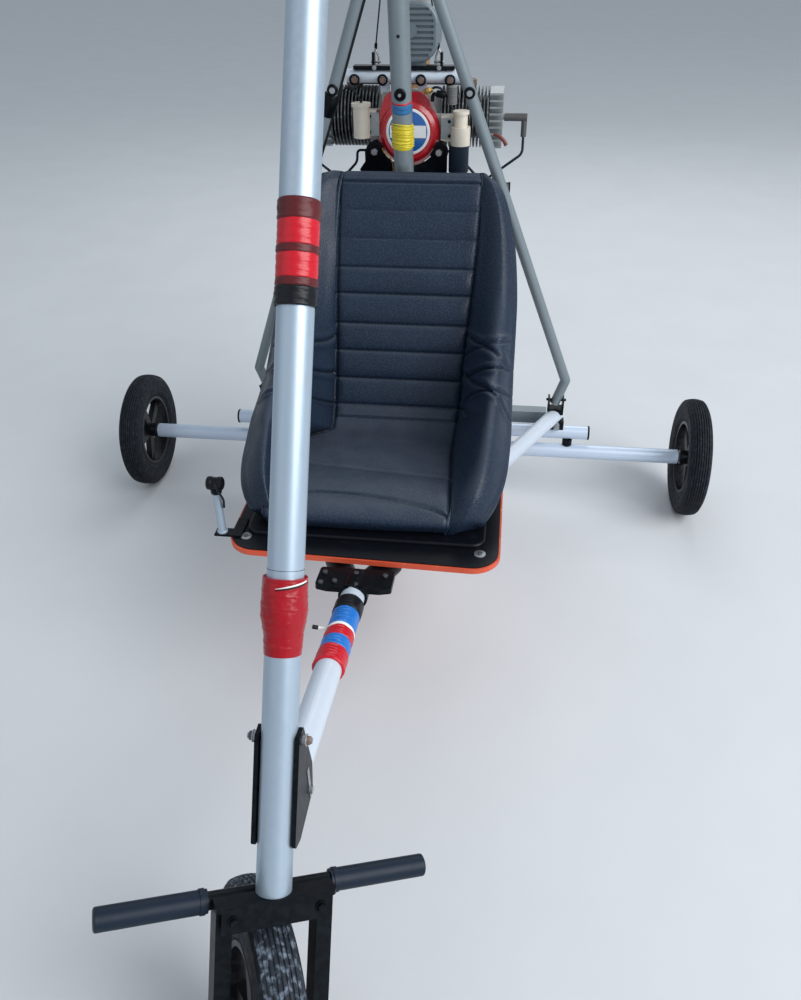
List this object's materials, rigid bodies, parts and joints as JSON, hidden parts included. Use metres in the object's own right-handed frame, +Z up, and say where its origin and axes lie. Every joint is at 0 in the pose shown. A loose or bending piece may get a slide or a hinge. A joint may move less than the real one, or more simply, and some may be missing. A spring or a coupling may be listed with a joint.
{
  "type": "microlight trike",
  "caption": "Open tube-frame trike base unit with steered nose wheel, bucket seat, finned flat-twin engine, pusher propeller and raked front strut.",
  "frame": {"origin": "on the ground, in the middle of the footprint", "axes": "+Z up, nose towards -Y, +X to the pilot's left"},
  "size_m": [1.848, 2.2082, 2.778],
  "materials": {
    "silver_tube": "satin",
    "white_tube": "gloss",
    "grey_tube": "satin",
    "black_metal": "satin",
    "steel": "satin",
    "red_tape": "satin",
    "tyre": "matte",
    "rim": "satin",
    "rubber": "matte",
    "wood_board": "matte",
    "black_plastic": "satin",
    "vinyl": "satin",
    "red_cover": "gloss",
    "cast_case": "matte",
    "fins": "matte",
    "head_metal": "matte",
    "carb_metal": "matte",
    "drum_metal": "matte",
    "pipe_metal": "matte",
    "tank_plastic": "satin",
    "blade_wood": "gloss"
  },
  "bodies": {
    "frame": {"front_strut": "silver_tube", "splice_tape": "red_tape", "kingpin": "steel", "nose_plates": "black_metal", "keel_tube": "white_tube", "nose_bolts": "steel", "y_fitting": "black_metal", "base_legs": "white_tube", "cross_tube": "grey_tube", "axle_tube": "grey_tube", "rear_brackets": "black_metal", "stub_axles": "steel", "mast_beam": "grey_tube", "mast": "grey_tube", "hang_block": "silver_tube", "side_struts": "grey_tube", "engine_hanger": "white_tube", "drum_bar": "black_metal", "engine_bearers": "black_metal", "crankcase": "cast_case", "fan_cover": "red_cover", "cylinders": "fins", "cylinder_heads": "head_metal", "plug_caps": "rubber", "intake_hose": "rubber", "carburettors": "carb_metal", "silencer_drum": "drum_metal", "exhaust_pipes": "pipe_metal", "ignition_leads": "rubber", "fuel_tank": "tank_plastic", "seat_board": "wood_board", "seat_plinth": "black_plastic", "seat": "vinyl", "throttle_post": "grey_tube"},
    "fork": {"fork_crown": "black_metal", "fork_legs": "black_metal", "front_axle": "steel", "foot_bar": "black_metal", "foot_grips": "rubber"},
    "front_wheel": {"front_tyre": "tyre", "front_rim": "rim"},
    "rear_left_wheel": {"rear_left_tyre": "tyre", "rear_left_rim": "rim"},
    "rear_right_wheel": {"rear_right_tyre": "tyre", "rear_right_rim": "rim"},
    "propeller": {"propeller_hub": "steel", "propeller": "blade_wood"}
  },
  "joints": [
    {"name": "steering", "type": "hinge", "parent": "frame", "child": "fork", "pos_m": [0, -0.8362, 0.455], "axis": [0, 0.49, 0.8717], "range_deg": [-65, 7]},
    {"name": "front_wheel_spin", "type": "hinge", "parent": "fork", "child": "front_wheel", "pos_m": [-0.03272, -0.90688, 0.20878], "axis": [0.8746, 0.4226, -0.2376], "continuous": true},
    {"name": "rear_left_wheel_spin", "type": "hinge", "parent": "frame", "child": "rear_left_wheel", "pos_m": [0.881, 0.8838, 0.1825], "axis": [1, 0, 0], "continuous": true},
    {"name": "rear_right_wheel_spin", "type": "hinge", "parent": "frame", "child": "rear_right_wheel", "pos_m": [-0.881, 0.8838, 0.1825], "axis": [1, 0, 0], "continuous": true},
    {"name": "propeller_spin", "type": "hinge", "parent": "frame", "child": "propeller", "pos_m": [0, 1.0793, 1.152], "axis": [0, 1, 0], "continuous": true}
  ]
}
